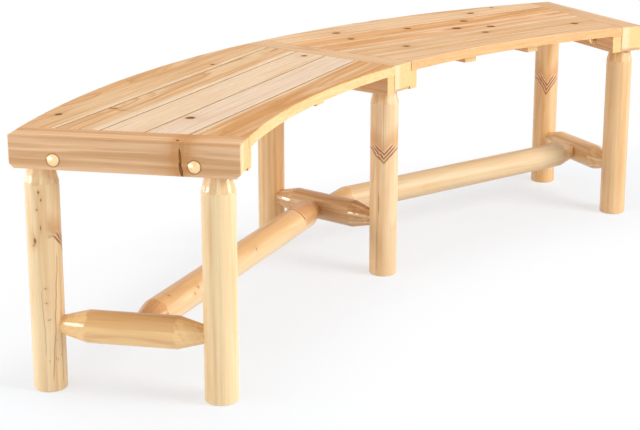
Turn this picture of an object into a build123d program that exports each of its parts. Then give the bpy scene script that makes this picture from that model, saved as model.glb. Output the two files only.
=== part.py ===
from build123d import *
import os
from math import atan, copysign, cos, degrees, radians, sin, sqrt

# Curved backless log bench. Three leg frames stand on radial lines of one circle, and two
# five-slat seat panels span between them. Millimetres, +Z up, floor at Z = 0, +X to the
# right, -Y to the concave front. The origin is on the floor at the middle of the outline.

# ---- plan of the bench
bend_radius = 1670.0  # from the arc centre to the middle of each top beam
half_angle = 27.25  # between the middle beam and an end beam, degrees
seat_height = 450.0

# ---- top beams
beam_length = 392.0
beam_width = 57.0
beam_height = 57.0
beam_end_chamfer = 8.0  # under both ends
beam_edge_round = 2.5

# ---- seat slats
slat_count = 5
slat_thickness = 19.0
slat_width = 72.0  # the middle slats, the outer two are sawn from wider boards
slat_gap = 2.5
slat_shift = 24.0  # middle slat, from the line between the beam centres towards the back
slat_end_gap = 0.5  # slat end to the side of a beam
slat_edge_round = 1.5

# ---- cleats bolted to the beams, and battens between them
cleat_thickness = 22.0
cleat_setback = 2.0  # cleat end to beam end
batten_width = 32.0
batten_thickness = 19.0
batten_spacing = 190.0  # between the two battens of a panel
batten_setback = 30.0  # batten end to the curved edge of the seat
board_edge_round = 1.0

# ---- legs
leg_diameter = 58.0
leg_setback = 45.0  # leg axis to beam end
leg_neck_flat = 44.0  # across flats under the beam
leg_taper_length = 30.0
leg_tenon_diameter = 32.0
leg_tenon_length = 36.0
leg_foot_chamfer = 3.0

# ---- stretchers
stretcher_diameter = 57.0
stretcher_height = 115.0  # axis above the floor
stretcher_neck_flat = 33.0
stretcher_taper_length = 48.0
cross_tenon_diameter = 26.0
cross_tenon_length = 28.0
long_tenon_diameter = 22.0
long_tenon_stop = 4.5  # tenon tip to the axis of the cross stretcher
long_joint_shift = 20.0  # on the middle cross stretcher, from its middle towards the back

# ---- joint clearances
tenon_clearance = 0.15
tenon_end_clearance = 1.0
shoulder_clearance = 0.1

# ---- bolts, washers and nuts
bolt_drop = 40.0  # bolt axis below the seat top
bolt_setback = 32.0  # bolt axis to leg axis, along the beam
bolt_diameter = 8.0
bolt_clearance = 0.25
bolt_head_diameter = 20.6
bolt_head_height = 4.6
bolt_end_projection = 1.5
washer_diameter = 17.0
washer_thickness = 1.6
nut_flat = 13.0
nut_height = 6.5
nut_corner_chamfer = 1.0
thread_clearance = 0.1

# ---- countersunk wood screws, driven up into the slats
screw_diameter = 4.5
screw_head_diameter = 9.0
screw_head_height = 2.6
screw_bite = 12.0  # depth in the slat
screw_tip_clearance = 1.0
screw_tip_length = 4.0
screw_socket_flat = 3.0
screw_socket_depth = 1.8
screw_clearance = 0.1
screw_bolt_distance = 14.0  # least distance between their axes, along a cleat
cleat_counterbore_depth = 6.0

# ---- values that follow
taper_sides = 8
hexagon_sides = 6
half_turn = 180.0
leg_spacing = beam_length - 2 * leg_setback
bolt_spacing = leg_spacing - 2 * bolt_setback
saw_margin = beam_length  # uncut boards reach this far past the seat
inner_radius = bend_radius - beam_length / 2
outer_radius = bend_radius + beam_length / 2
beam_underside = seat_height - beam_height
slat_underside = seat_height - slat_thickness
batten_underside = slat_underside - batten_thickness
bolt_height = seat_height - bolt_drop
leg_radius = leg_diameter / 2
stretcher_radius = stretcher_diameter / 2
long_tenon_length = stretcher_radius - long_tenon_stop
beam_side = beam_width / 2
cleat_side = beam_side + cleat_thickness
slat_pitch = slat_width + slat_gap
nut_corner_radius = nut_flat / 2 / cos(radians(half_turn / hexagon_sides))
dome_radius = ((bolt_head_diameter / 2) ** 2 + bolt_head_height**2) / (2 * bolt_head_height)
screw_head_angle = 2 * degrees(atan((screw_head_diameter - screw_diameter) / 2 / screw_head_height))

end_sin = sin(radians(half_angle))
end_cos = cos(radians(half_angle))
corner_cut = beam_edge_round * (end_sin + end_cos - 1)
front_reach = inner_radius * end_cos - beam_side * end_sin + corner_cut
arc_centre_y = -(outer_radius + front_reach) / 2

panel_angle = half_angle / 2
panel_sin = sin(radians(panel_angle))
panel_cos = cos(radians(panel_angle))
chord_distance = bend_radius * panel_cos  # arc centre to the line between beam centres

frames = {"left": -half_angle, "middle": 0.0, "right": half_angle}
panels = {"left": -panel_angle, "right": panel_angle}


def radial_plane(angle, distance):
    """Plane on the floor, X to the right and Y away from the arc centre."""
    turn = radians(angle)
    return Plane(
        origin=(distance * sin(turn), arc_centre_y + distance * cos(turn), 0),
        x_dir=(cos(turn), -sin(turn), 0),
        z_dir=(0, 0, 1),
    )


def frame_plane(name):
    return radial_plane(frames[name], bend_radius)


def panel_plane(name):
    return radial_plane(panels[name], chord_distance)


# ---- joints shared by the logs


def taper_end(tip, neck_distance, neck_flat, taper_length, radius, reach):
    """Cuts eight flats on a log end. tip looks along the log, away from the end."""
    slope = (radius - neck_flat / 2) / taper_length
    tip_flat = neck_flat - 2 * slope * neck_distance
    far_flat = tip_flat + 2 * slope * reach
    with BuildSketch(tip) as near:
        RegularPolygon(tip_flat / 2, taper_sides, major_radius=False)
    with BuildSketch(tip.offset(reach)) as far:
        RegularPolygon(far_flat / 2, taper_sides, major_radius=False)
    loft([near.sketch, far.sketch], ruled=True, mode=Mode.INTERSECT)


def round_tenon(tip, host_radius, diameter, length):
    """Adds the tenon that enters a round host log whose axis passes through tip."""
    with BuildSketch(tip.offset(host_radius - length)) as tenon:
        Circle(diameter / 2)
    extrude(tenon.sketch, amount=length + diameter)  # its root stands in its own log


def round_mortise(tip, host_radius, diameter, length):
    """Drills the host log for round_tenon, from the same plane."""
    with BuildSketch(tip.offset(host_radius - length - tenon_end_clearance)) as mortise:
        Circle(diameter / 2 + tenon_clearance)
    extrude(mortise.sketch, amount=length + tenon_end_clearance + host_radius, mode=Mode.SUBTRACT)


def cross_tips(name):
    """Planes on the two leg axes of a frame, each looking at the other leg."""
    frame = frame_plane(name)
    half = leg_spacing / 2
    return {
        "front": Plane(frame.from_local_coords((0, -half, stretcher_height)), (0, 0, 1), frame.y_dir),
        "back": Plane(frame.from_local_coords((0, half, stretcher_height)), (0, 0, 1), -frame.y_dir),
    }


def long_tips(side):
    """Planes on the two cross stretcher axes that a long stretcher joins."""
    outer = Vector(frame_plane(side).from_local_coords((0, 0, stretcher_height)))
    inner = Vector(frame_plane("middle").from_local_coords((0, long_joint_shift, stretcher_height)))
    along = (inner - outer).normalized()
    return {"outer": Plane(outer, (0, 0, 1), along), "inner": Plane(inner, (0, 0, 1), -along)}


# ---- seat panel layout, in the panel plane


def panel_edge(radius, inset):
    """Point on a line beside the right-hand beam, inset from its centre line."""
    x = radius * panel_sin - inset * panel_cos
    y = radius * panel_cos + inset * panel_sin - chord_distance
    return x, y


def panel_outline():
    """Area between the two beams, longer than the slats at the front and the back."""
    near = inner_radius - saw_margin
    far = outer_radius + saw_margin
    inset = beam_side + slat_end_gap
    near_x, near_y = panel_edge(near, inset)
    far_x, far_y = panel_edge(far, inset)
    return [(near_x, near_y), (far_x, far_y), (-far_x, far_y), (-near_x, near_y)]


def arc_y(radius, x):
    """Height of an arc of the seat over the line between the beam centres."""
    return sqrt(radius**2 - x**2) - chord_distance


def slat_edges(number):
    """Front and back edges of a slat before the arcs are sawn, 1 is at the back."""
    middle = slat_shift + ((slat_count + 1) / 2 - number) * slat_pitch
    front = middle - slat_width / 2
    back = middle + slat_width / 2
    if number == 1:
        back = front + saw_margin
    if number == slat_count:
        front = back - saw_margin
    return front, back


def screw_rows(front_end, back_end):
    """Where a member under the panel is screwed, one screw to each slat."""
    rows = []
    for number in range(1, slat_count + 1):
        front, back = slat_edges(number)
        rows.append((max(front, front_end) + min(back, back_end)) / 2)
    return rows


batten_x = batten_spacing / 2
batten_front = arc_y(inner_radius, batten_x) + batten_setback
batten_back = arc_y(outer_radius, batten_x) - batten_setback
cleat_middle = beam_side + cleat_thickness / 2
cleat_front = panel_edge(inner_radius + cleat_setback, cleat_middle)[1]
cleat_back = panel_edge(outer_radius - cleat_setback, cleat_middle)[1]


def batten_screw_points(x):
    return [(x, y) for y in screw_rows(batten_front, batten_back)]


def clear_of_bolts(radius):
    """Moves a screw along its cleat, away from a bolt that it would come too near."""
    for bolt in (bend_radius - bolt_spacing / 2, bend_radius + bolt_spacing / 2):
        if abs(radius - bolt) < screw_bolt_distance:
            radius = bolt + copysign(screw_bolt_distance, radius - bolt)
    return radius


def cleat_screw_points(hand):
    """hand is 1 for the cleat at the right of a panel, -1 for the one at its left."""
    points = []
    for row in screw_rows(cleat_front, cleat_back):
        radius = (row + chord_distance - cleat_middle * panel_sin) / panel_cos
        x, y = panel_edge(clear_of_bolts(radius), cleat_middle)
        points.append((hand * x, y))
    return points


def drill_screws(plane, points, seat):
    """Countersunk clearance holes through a member. seat is the height of the screw heads."""
    seats = [Plane(plane.from_local_coords((x, y, seat)), plane.x_dir, (0, 0, -1)) for x, y in points]
    with Locations(*seats):
        CounterSinkHole(
            screw_diameter / 2 + screw_clearance,
            screw_head_diameter / 2 + screw_clearance,
            depth=slat_underside,
            counter_sink_angle=screw_head_angle,
        )


os.makedirs("parts", exist_ok=True)

# ---- top beams: bored for two bolts and for the tenons of two legs

for name in frames:
    frame = frame_plane(name)
    with BuildPart() as beam:
        with BuildSketch(frame.offset(beam_underside)):
            Rectangle(beam_width, beam_length)
        extrude(amount=beam_height)
        end_edges = beam.edges().filter_by(Axis(frame.origin, frame.x_dir))
        chamfer(end_edges.group_by(Axis.Z)[0], beam_end_chamfer)
        fillet(beam.edges(), beam_edge_round)
        with BuildSketch(frame.offset(beam_underside)):
            with GridLocations(0, leg_spacing, 1, 2):
                Circle(leg_tenon_diameter / 2 + tenon_clearance)
        extrude(amount=leg_tenon_length + tenon_end_clearance, mode=Mode.SUBTRACT)
        with BuildSketch(Plane(frame.from_local_coords((0, 0, bolt_height)), frame.y_dir, frame.x_dir)):
            with GridLocations(bolt_spacing, 0, 2, 1):
                Circle(bolt_diameter / 2 + bolt_clearance)
        extrude(amount=beam_width, both=True, mode=Mode.SUBTRACT)
    beam.part.label = f"{name}_beam"
    export_step(beam.part, f"parts/{name}_beam.step")

# ---- legs: faceted neck and tenon at the top, mortise for the cross stretcher

for name in frames:
    for place, tip in cross_tips(name).items():
        axis = Plane((tip.origin.X, tip.origin.Y, 0), tip.z_dir, (0, 0, 1))
        with BuildPart() as leg:
            with BuildSketch(axis):
                Circle(leg_radius)
            extrude(amount=beam_underside)
            chamfer(leg.edges().group_by(Axis.Z)[0], leg_foot_chamfer)
            top = Plane(axis.offset(beam_underside).origin, axis.x_dir, (0, 0, -1))
            taper_end(top, 0, leg_neck_flat, leg_taper_length, leg_radius, beam_underside)
            with BuildSketch(axis.offset(beam_underside)):
                Circle(leg_tenon_diameter / 2)
            extrude(amount=leg_tenon_length)
            round_mortise(tip, leg_radius, cross_tenon_diameter, cross_tenon_length)
        leg.part.label = f"{name}_{place}_leg"
        export_step(leg.part, f"parts/{name}_{place}_leg.step")

# ---- cross stretchers: from leg to leg in each frame, mortised for the long stretchers

for name in frames:
    tips = cross_tips(name)
    joined = [side for side in panels if name in (side, "middle")]
    with BuildPart() as cross:
        with BuildSketch(tips["front"]):
            Circle(stretcher_radius)
        extrude(amount=leg_spacing)
        for tip in tips.values():
            taper_end(
                tip, leg_radius, stretcher_neck_flat, stretcher_taper_length, stretcher_radius, leg_spacing
            )
        with BuildSketch(frame_plane(name)):
            with GridLocations(0, leg_spacing, 1, 2):
                Circle(leg_radius + shoulder_clearance)
        extrude(amount=beam_underside, mode=Mode.SUBTRACT)
        for tip in tips.values():
            round_tenon(tip, leg_radius, cross_tenon_diameter, cross_tenon_length)
        for side in joined:
            tip = long_tips(side)["inner" if name == "middle" else "outer"]
            round_mortise(tip, stretcher_radius, long_tenon_diameter, long_tenon_length)
    cross.part.label = f"{name}_cross_stretcher"
    export_step(cross.part, f"parts/{name}_cross_stretcher.step")

# ---- long stretchers: from the end frames to the middle frame

for side in panels:
    tips = long_tips(side)
    length = (tips["inner"].origin - tips["outer"].origin).length
    with BuildPart() as stretcher:
        with BuildSketch(tips["outer"]):
            Circle(stretcher_radius)
        extrude(amount=length)
        for tip in tips.values():
            taper_end(
                tip, stretcher_radius, stretcher_neck_flat, stretcher_taper_length, stretcher_radius, length
            )
        for name in (side, "middle"):
            with BuildSketch(cross_tips(name)["front"]):
                Circle(stretcher_radius + shoulder_clearance)
            extrude(amount=leg_spacing, mode=Mode.SUBTRACT)
        for tip in tips.values():
            round_tenon(tip, stretcher_radius, long_tenon_diameter, long_tenon_length)
    stretcher.part.label = f"{side}_long_stretcher"
    export_step(stretcher.part, f"parts/{side}_long_stretcher.step")

# ---- seat slats: straight boards, sawn to the arcs at the front and back of the seat

for side in panels:
    plane = panel_plane(side)
    screws = (
        batten_screw_points(-batten_x)
        + batten_screw_points(batten_x)
        + cleat_screw_points(-1)
        + cleat_screw_points(1)
    )
    for number in range(1, slat_count + 1):
        front, back = slat_edges(number)
        with BuildPart() as slat:
            with BuildSketch(plane.offset(slat_underside)):
                with Locations((0, (front + back) / 2)):
                    Rectangle(2 * (outer_radius + saw_margin) * panel_sin, back - front)
                with Locations((0, -chord_distance)):
                    Circle(outer_radius, mode=Mode.INTERSECT)
                    Circle(inner_radius, mode=Mode.SUBTRACT)
                Polygon(*panel_outline(), align=None, mode=Mode.INTERSECT)
            extrude(amount=slat_thickness)
            fillet(slat.edges().group_by(Axis.Z)[-1], slat_edge_round)
            with BuildSketch(plane.offset(slat_underside)):
                with Locations(*[point for point in screws if front < point[1] < back]):
                    Circle(screw_diameter / 2 + screw_clearance)
            extrude(amount=screw_bite + screw_tip_clearance, mode=Mode.SUBTRACT)
        slat.part.label = f"{side}_slat_{number}"
        export_step(slat.part, f"parts/{side}_slat_{number}.step")

# ---- cleats: under the slat ends, against the beams, screwed up into the slats

for side in panels:
    plane = panel_plane(side)
    for hand in (-1, 1):
        at_middle = (side == "left") == (hand == 1)
        frame = frame_plane("middle" if at_middle else side)
        with BuildPart() as cleat:
            with BuildSketch(frame.offset(beam_underside)):
                with Locations((-hand * cleat_middle, 0)):
                    Rectangle(cleat_thickness, beam_length - 2 * cleat_setback)
            extrude(amount=slat_underside - beam_underside)
            fillet(cleat.edges().group_by(Axis.Z)[0], board_edge_round)
            bolt_plane = Plane(frame.from_local_coords((0, 0, bolt_height)), frame.y_dir, frame.x_dir)
            with BuildSketch(bolt_plane):
                with GridLocations(bolt_spacing, 0, 2, 1):
                    Circle(bolt_diameter / 2 + bolt_clearance)
            extrude(amount=2 * cleat_side, both=True, mode=Mode.SUBTRACT)
            drill_screws(plane, cleat_screw_points(hand), beam_underside + cleat_counterbore_depth)
        end = "inner" if at_middle else "outer"
        cleat.part.label = f"{side}_{end}_cleat"
        export_step(cleat.part, f"parts/{side}_{end}_cleat.step")

# ---- battens: across the slats, clear of the curved edges

for side in panels:
    plane = panel_plane(side)
    for hand in (-1, 1):
        with BuildPart() as batten:
            with BuildSketch(plane.offset(batten_underside)):
                with Locations((hand * batten_x, (batten_front + batten_back) / 2)):
                    Rectangle(batten_width, batten_back - batten_front)
            extrude(amount=batten_thickness)
            fillet(batten.edges().group_by(Axis.Z)[0], board_edge_round)
            drill_screws(plane, batten_screw_points(hand * batten_x), batten_underside)
        end = "inner" if (side == "left") == (hand == 1) else "outer"
        batten.part.label = f"{side}_{end}_batten"
        export_step(batten.part, f"parts/{side}_{end}_batten.step")

# ---- bolts, washers and nuts, two sets to each beam

for name in frames:
    frame = frame_plane(name)
    outward = -1 if name == "left" else 1
    grip_start = cleat_side if name == "middle" else beam_side
    grip = grip_start + cleat_side
    head_plane = Plane(
        frame.from_local_coords((outward * grip_start, 0, bolt_height)), frame.y_dir, frame.x_dir * -outward
    )
    bolt_length = grip + washer_thickness + nut_height + bolt_end_projection
    with BuildPart() as bolts:
        for offset in (-bolt_spacing / 2, bolt_spacing / 2):
            start = head_plane.from_local_coords((offset, 0, 0))
            with BuildSketch(Plane(start, head_plane.z_dir, head_plane.y_dir)):
                with BuildLine():
                    rim = (0, bolt_head_diameter / 2)
                    RadiusArc((-bolt_head_height, 0), rim, dome_radius)
                    Polyline(
                        rim,
                        (0, bolt_diameter / 2),
                        (bolt_length, bolt_diameter / 2),
                        (bolt_length, 0),
                        (-bolt_head_height, 0),
                    )
                make_face()
            revolve(axis=Axis(start, head_plane.z_dir))
    bolts.part.label = f"{name}_bolts"
    export_step(bolts.part, f"parts/{name}_bolts.step")

    with BuildPart() as washers:
        with BuildSketch(head_plane.offset(grip)):
            with GridLocations(bolt_spacing, 0, 2, 1):
                Circle(washer_diameter / 2)
                Circle(bolt_diameter / 2 + bolt_clearance, mode=Mode.SUBTRACT)
        extrude(amount=washer_thickness)
    washers.part.label = f"{name}_washers"
    export_step(washers.part, f"parts/{name}_washers.step")

    nut_plane = head_plane.offset(grip + washer_thickness)
    with BuildPart() as nuts:
        with BuildSketch(nut_plane):
            with GridLocations(bolt_spacing, 0, 2, 1):
                Circle(nut_corner_radius)
        extrude(amount=nut_height)
        outer_rims = nuts.edges().group_by(Axis(head_plane.origin, head_plane.z_dir))[-1]
        chamfer(outer_rims, nut_corner_chamfer)
        with BuildSketch(nut_plane):
            with GridLocations(bolt_spacing, 0, 2, 1):
                RegularPolygon(nut_flat / 2, hexagon_sides, major_radius=False)
                Circle(bolt_diameter / 2 + thread_clearance, mode=Mode.SUBTRACT)
        extrude(amount=nut_height, mode=Mode.INTERSECT)
    nuts.part.label = f"{name}_nuts"
    export_step(nuts.part, f"parts/{name}_nuts.step")

# ---- wood screws, one set for the cleats and one for the battens of each panel


def screw_set(plane, points, seat):
    """Screws standing head down on seat, with a hexagon socket under each head."""
    length = slat_underside + screw_bite - seat
    for x, y in points:
        base = Plane(plane.from_local_coords((x, y, seat)), plane.x_dir, (0, 0, 1))
        with BuildSketch(Plane(base.origin, base.x_dir, base.y_dir)) as profile:
            with BuildLine():
                Polyline(
                    (0, 0),
                    (screw_head_diameter / 2, 0),
                    (screw_diameter / 2, -screw_head_height),
                    (screw_diameter / 2, -length + screw_tip_length),
                    (0, -length),
                    close=True,
                )
            make_face()
        revolve(profile.sketch, axis=Axis(base.origin, (0, 0, 1)))
        with BuildSketch(base) as socket:
            RegularPolygon(screw_socket_flat / 2, hexagon_sides, major_radius=False)
        extrude(socket.sketch, amount=screw_socket_depth, mode=Mode.SUBTRACT)


for side in panels:
    plane = panel_plane(side)
    with BuildPart() as cleat_screws:
        points = cleat_screw_points(-1) + cleat_screw_points(1)
        screw_set(plane, points, beam_underside + cleat_counterbore_depth)
    cleat_screws.part.label = f"{side}_cleat_screws"
    export_step(cleat_screws.part, f"parts/{side}_cleat_screws.step")

    with BuildPart() as batten_screws:
        points = batten_screw_points(-batten_x) + batten_screw_points(batten_x)
        screw_set(plane, points, batten_underside)
    batten_screws.part.label = f"{side}_batten_screws"
    export_step(batten_screws.part, f"parts/{side}_batten_screws.step")
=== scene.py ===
import math
import random

import bmesh
import bpy
from mathutils import Matrix, Quaternion, Vector, noise


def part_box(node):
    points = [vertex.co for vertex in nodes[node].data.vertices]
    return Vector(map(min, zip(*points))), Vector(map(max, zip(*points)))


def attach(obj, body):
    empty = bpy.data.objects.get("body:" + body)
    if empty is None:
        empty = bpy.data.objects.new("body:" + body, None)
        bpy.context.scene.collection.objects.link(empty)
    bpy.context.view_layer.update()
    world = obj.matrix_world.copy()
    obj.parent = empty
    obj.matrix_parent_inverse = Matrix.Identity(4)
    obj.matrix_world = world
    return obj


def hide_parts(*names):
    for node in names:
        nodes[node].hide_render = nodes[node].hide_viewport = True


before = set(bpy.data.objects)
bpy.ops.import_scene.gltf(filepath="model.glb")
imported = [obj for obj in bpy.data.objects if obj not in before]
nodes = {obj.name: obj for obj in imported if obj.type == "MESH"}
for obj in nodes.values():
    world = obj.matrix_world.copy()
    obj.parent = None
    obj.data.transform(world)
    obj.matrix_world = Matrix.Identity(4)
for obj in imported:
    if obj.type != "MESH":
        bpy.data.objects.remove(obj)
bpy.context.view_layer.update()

chance = random.Random(5)
millimetre = 0.001

# Curved log bench of pale fir under a clear satin varnish. Logs and bolts are modelled here,
# while boards, beams and small hardware keep their CAD shape and get their finish.


# formulas for materials: a Field is a socket, and a Shader writes nodes


class Field:
    def __init__(self, shader, socket):
        self.shader = shader
        self.socket = socket

    def maths(self, operation, *others):
        return self.shader.maths(operation, self, *others)

    def __add__(self, other):
        return self.shader.maths("ADD", self, other)

    def __radd__(self, other):
        return self.shader.maths("ADD", other, self)

    def __sub__(self, other):
        return self.shader.maths("SUBTRACT", self, other)

    def __rsub__(self, other):
        return self.shader.maths("SUBTRACT", other, self)

    def __mul__(self, other):
        return self.shader.maths("MULTIPLY", self, other)

    def __rmul__(self, other):
        return self.shader.maths("MULTIPLY", other, self)

    def __truediv__(self, other):
        return self.shader.maths("DIVIDE", self, other)


class Shader:
    def __init__(self, tree):
        self.tree = tree
        self.tree.nodes.clear()

    def node(self, kind, settings=None, inputs=None, outputs=(0,)):
        # settings go in first, because they decide which sockets there are
        made = self.tree.nodes.new("ShaderNode" + kind)
        for key, value in (settings or {}).items():
            if key == "stops":
                self.setStops(made.color_ramp, value)
            else:
                setattr(made, key, value)
        for key, value in (inputs or {}).items():
            if isinstance(value, Field):
                self.tree.links.new(value.socket, made.inputs[key])
            else:
                made.inputs[key].default_value = value
        fields = [Field(self, made.outputs[key]) for key in outputs]
        return fields[0] if len(fields) == 1 else fields

    def setStops(self, ramp, stops):
        while len(ramp.elements) < len(stops):
            ramp.elements.new(1.0)
        for element, (position, value) in zip(ramp.elements, stops):
            element.position = position
            element.color = (value, value, value, 1)

    def maths(self, operation, *values):
        return self.node("Math", {"operation": operation}, dict(enumerate(values)))

    def vector(self, x, y, z):
        return self.node("CombineXYZ", None, {0: x, 1: y, 2: z})

    def split(self, vector):
        return self.node("SeparateXYZ", None, {0: vector}, (0, 1, 2))

    def length(self, x, y, z=0.0):
        settings = {"operation": "LENGTH"}
        return self.node("VectorMath", settings, {0: self.vector(x, y, z)}, ("Value",))

    def smooth(self, value, low, high):
        # 0 below low, 1 above high
        settings = {"interpolation_type": "SMOOTHSTEP"}
        return self.node("MapRange", settings, {"Value": value, "From Min": low, "From Max": high})

    def bell(self, value, width):
        # 1 at zero, almost nothing two widths away
        scaled = value / width
        return (scaled * scaled * -1.0).maths("EXPONENT")

    def noise(self, x, y, z, detail=2.0, roughness=0.5):
        inputs = {"Vector": self.vector(x, y, z), "Scale": 1.0, "Detail": detail, "Roughness": roughness}
        return self.node("TexNoise", None, inputs)

    def line(self, value, detail=1.0, outputs=(0,)):
        # noise along one direction
        settings = {"noise_dimensions": "1D"}
        return self.node("TexNoise", settings, {"W": value, "Scale": 1.0, "Detail": detail}, outputs)

    def mix(self, factor, first, second, blend="MIX"):
        settings = {"data_type": "RGBA", "blend_type": blend}
        return self.node("Mix", settings, {0: factor, 6: first, 7: second}, (2,))

    def output(self, kind, shader):
        self.node("Output" + kind, None, {"Surface": shader}, ())


def newMaterial(name):
    material = bpy.data.materials.new(name)
    material.use_nodes = True
    return material, Shader(material.node_tree)


def colour(red, green, blue):
    return (red, green, blue, 1.0)


# wood

woodLook = {
    "pale": colour(0.89, 0.61, 0.36),
    "tan": colour(0.75, 0.41, 0.18),
    "ringDark": colour(0.52, 0.22, 0.07),
    # pale sapwood colour, also used for painted highlights
    "sapAndHighlight": colour(0.96, 0.76, 0.54),
    "end": colour(0.97, 0.72, 0.36),
    "knot": colour(0.13, 0.038, 0.009),
    "knotHeart": colour(0.32, 0.11, 0.03),
    "halo": colour(0.60, 0.26, 0.08),
    "scarAndShade": colour(0.30, 0.095, 0.018),
    # dark brown for the painted shade in the gaps between boards
    "joint": colour(0.20, 0.085, 0.03),
    "ringWidth": 3.4,
    "ringContrast": 0.62,
    "warm": 0.35,  # how far it leans from pale to tan
    "bands": 0.9,  # tone change from ring to ring
    "streaks": 1.0,
    "wander": 4.0,  # sideways drift of the pith, mm
    "waves": 5.0,  # unevenness of the rings, mm
    "waveStretch": 0.003,
    "fibre": 0.32,
    "strand": 0.26,
    "roughness": 0.6,
    "specular": 0.02,
    "coat": 0.0,
    "coatRoughness": 0.14,
    "bump": 0.25,
    "grainDepth": 0.0006,
    "endTone": 0.6,
    # how strongly the painted gap shade darkens the boards beside a joint
    "jointShade": 0.6,
}
logLook = {
    "pale": colour(0.90, 0.64, 0.35),
    "tan": colour(0.76, 0.44, 0.18),
    "fibre": 0.14,
    "strand": 0.11,
    "roughness": 0.42,
    "specular": 0.4,
    "coat": 0.95,
    "coatRoughness": 0.07,
    "bodyCoat": 0.22,  # share of the coat off the narrow flats of a neck
    "wander": 2.0,
    "waves": 6.0,
    "waveStretch": 0.0018,
    "ringWidth": 4.2,
}
cutMarks = {"eased": 0.5, "broad": 0.8, "ridge": 1.0}  # what the faces of a neck carry


def axesMatrix(along, up):
    # columns: x along the grain, y across, z near up
    third = (up - along * up.dot(along)).normalized()
    return Matrix((along, third.cross(along), third)).transposed()


def addKnot(s, x, y, z, knot, marks, oneSided):
    # a branch runs out from the pith along the knot's angle
    angle = math.radians(knot.get("angle", 90.0))
    out = math.cos(angle) * y + math.sin(angle) * z
    side = math.cos(angle) * z - math.sin(angle) * y - knot.get("side", 0.0)
    along = x - knot["x"]
    size = knot["size"]
    stretch = knot.get("stretch", 1.0)
    depth = knot.get("depth", 1.0)
    spin = math.radians(knot.get("spin", 0.0))
    long = math.cos(spin) * along + math.sin(spin) * side
    short = math.cos(spin) * side - math.sin(spin) * along
    wobble = s.noise(along * 0.22 + knot["x"], side * 0.22, size, 2.0)
    pointed = long.maths("ABSOLUTE") * (0.25 / stretch)
    distance = s.length(long / stretch, short) + (wobble - 0.5) * size * 0.8 + pointed
    flow = s.length(along / (size * 3.4 * stretch), side / (size * 1.6))
    near = (flow * -1.0).maths("EXPONENT")
    if oneSided:
        facing = s.smooth(out, 0.0, 12.0)
        near = near * facing
        distance = distance + (1.0 - facing) * 400.0  # far enough to leave no mark
    marks["field"] = marks["field"] - near * knot.get("pull", size * 1.1)
    body = 1.0 - s.smooth(distance, size * 0.7, size * 1.08)
    rim = s.bell(distance - size * 0.92, size * 0.2)
    marks["knot"] = marks["knot"].maths("MAXIMUM", body * depth)
    marks["rim"] = marks["rim"].maths("MAXIMUM", rim * depth * knot.get("rim", 1.0))
    marks["distance"] = marks["distance"].maths("MINIMUM", distance)
    marks["halo"] = marks["halo"] + (distance * (-0.5 / size)).maths("EXPONENT") * knot.get("halo", 0.9)


def addWhorl(s, x, y, z, whorl, marks):
    # where a ring of branches was trimmed off: nested V lines under a brown patch, with a painted
    # highlight between the lines
    angle = math.radians(whorl["angle"])
    out = math.cos(angle) * y + math.sin(angle) * z
    side = math.cos(angle) * z - math.sin(angle) * y
    bend = s.noise(x * 0.06, y * 0.06, z * 0.06 + whorl["x"], 2.0)
    aside = s.maths("ABSOLUTE", side + (bend - 0.5) * 8.0)
    tip = aside * aside * (-0.5 / whorl["reach"]) + aside  # the arms straighten outwards
    rise = x - whorl["x"] - (tip * 0.35 + aside * 0.75) * whorl["slope"] + (bend - 0.5) * 8.0
    facing = s.smooth(out, 0.0, 10.0)
    strength = s.noise(x * 0.09, y * 0.12, z * 0.12, 2.0) * 1.2 + 0.5
    for index in range(whorl.get("lines", 3)):
        reach = whorl["reach"] * (1.0 - 0.22 * index)
        fade = facing * (1.0 - s.smooth(aside, reach * 0.7, reach)) * strength
        stroke = rise - index * whorl["gap"]
        marks["scarAndShade"] = marks["scarAndShade"].maths("MAXIMUM", s.bell(stroke, 2.7) * fade)
        ridgeHighlight = s.bell(stroke - whorl["gap"] * 0.5, 2.0)
        marks["light"] = marks["light"].maths("MAXIMUM", ridgeHighlight * fade * 0.8)
    patch = s.smooth(rise, -3.0, 8.0) * (1.0 - s.smooth(rise, whorl["patch"] * 0.3, whorl["patch"]))
    marks["halo"] = marks["halo"] + patch * facing


def addCheck(s, x, y, z, check, marks):
    # a fine drying crack along the grain
    angle = math.radians(check["angle"])
    out = math.cos(angle) * y + math.sin(angle) * z
    side = math.cos(angle) * z - math.sin(angle) * y
    drift = s.line(x * 0.012 + check["x"], 3.0)
    offset = side - (drift - 0.5) * check["drift"] - (x - check["x"]) * check.get("slope", 0.0)
    begun = s.smooth(x, check["x"], check["x"] + 15.0)
    ended = s.smooth(x, check["end"] - 15.0, check["end"])
    stroke = s.bell(offset, check["width"]) * (begun * (1.0 - ended)) * s.smooth(out, 0.0, 6.0)
    marks["scarAndShade"] = marks["scarAndShade"].maths("MAXIMUM", stroke * check["depth"])


def addSpecks(s, x, y, z, amount, marks):
    # resin dashes and pin knots
    cells = {"Vector": s.vector(x * 0.03, y * 0.13, z * 0.13), "Scale": 1.0}
    spots, tint = s.node("TexVoronoi", None, cells, ("Distance", "Color"))
    pick = s.split(tint)[0]
    dash = (1.0 - s.smooth(spots, 0.04, 0.12)) * s.smooth(pick, 1.0 - amount, 1.02 - amount)
    marks["scarAndShade"] = marks["scarAndShade"].maths("MAXIMUM", dash * 0.75)


def addBoltHeadShade(s, x, z, ring, marks):
    # painted contact shade: a dark ring in the wood round a bolt head, where the head meets the wood
    distance = s.length(x - ring["x"], z - ring["height"])
    contactShade = s.bell(distance - ring["radius"], ring["width"]) * 0.75
    marks["scarAndShade"] = marks["scarAndShade"].maths("MAXIMUM", contactShade)


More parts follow.
